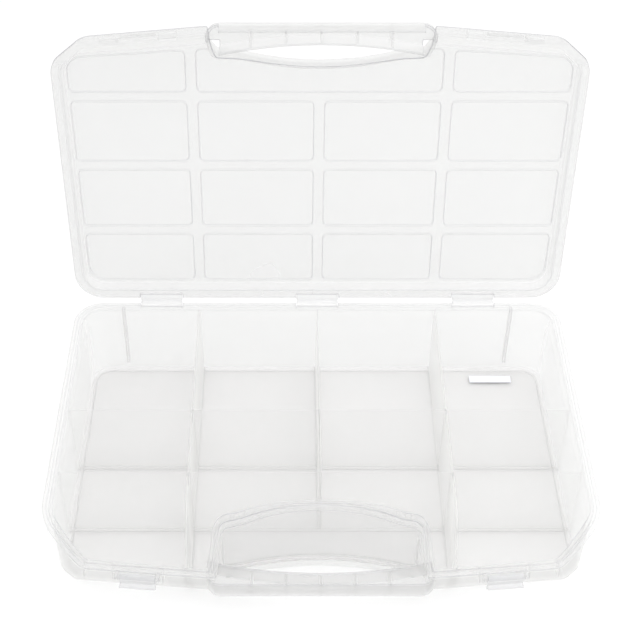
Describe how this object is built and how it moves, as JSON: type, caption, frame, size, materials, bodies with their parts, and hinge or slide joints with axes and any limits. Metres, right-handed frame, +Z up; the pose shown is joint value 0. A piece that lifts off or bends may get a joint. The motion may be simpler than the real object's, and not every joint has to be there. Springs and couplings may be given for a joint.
{
  "type": "compartment tackle box",
  "caption": "Flat translucent case with a hinged lid, divided tray, split carry grip and snap latches, standing open.",
  "frame": {"origin": "centre of the tray's flat underside, midway along its overall plan box at the rim", "axes": "+X along the case's length to the right, grip and latches at -Y, hinge at +Y, +Z up"},
  "size_m": [0.3434, 0.2626, 0.2834],
  "materials": {
    "frosted_plastic": "translucent natural polypropylene, satin inside, slightly hazy",
    "divider_plastic": "translucent natural polypropylene, thin and satin",
    "hinge_plastic": "translucent natural polypropylene, whitened at the bends",
    "label_paper": "blank white sticker, matt"
  },
  "bodies": {
    "base": {"base_tray": "frosted_plastic", "cross_divider_rear": "divider_plastic", "cross_divider_front": "divider_plastic", "divider_rear_left": "divider_plastic", "divider_rear_centre": "divider_plastic", "divider_rear_right": "divider_plastic", "divider_middle_left": "divider_plastic", "divider_middle_centre": "divider_plastic", "divider_middle_right": "divider_plastic", "divider_front_left": "divider_plastic", "divider_front_right": "divider_plastic", "floor_label": "label_paper", "hinge_leaf_base_left": "hinge_plastic", "hinge_leaf_base_centre": "hinge_plastic", "hinge_leaf_base_right": "hinge_plastic", "latch_pin_left": "frosted_plastic", "latch_pin_right": "frosted_plastic"},
    "lid": {"lid_shell": "frosted_plastic", "hinge_leaf_lid_left": "hinge_plastic", "hinge_leaf_lid_centre": "hinge_plastic", "hinge_leaf_lid_right": "hinge_plastic"},
    "latch_left": {"latch_flap_left": "hinge_plastic"},
    "latch_right": {"latch_flap_right": "hinge_plastic"}
  },
  "joints": [
    {"name": "lid_hinge", "type": "hinge", "parent": "base", "child": "lid", "pos_m": [0, 0.1142, 0.06115], "axis": [1, 0, 0], "range_deg": [0, 98]},
    {"name": "latch_left_hinge", "type": "hinge", "parent": "base", "child": "latch_left", "pos_m": [-0.1123, -0.10433, 0.0342], "axis": [-0.996, 0.0894, 0], "range_deg": [0, 180]},
    {"name": "latch_right_hinge", "type": "hinge", "parent": "base", "child": "latch_right", "pos_m": [0.1123, -0.10433, 0.0342], "axis": [-0.996, -0.0894, 0], "range_deg": [0, 180]}
  ]
}
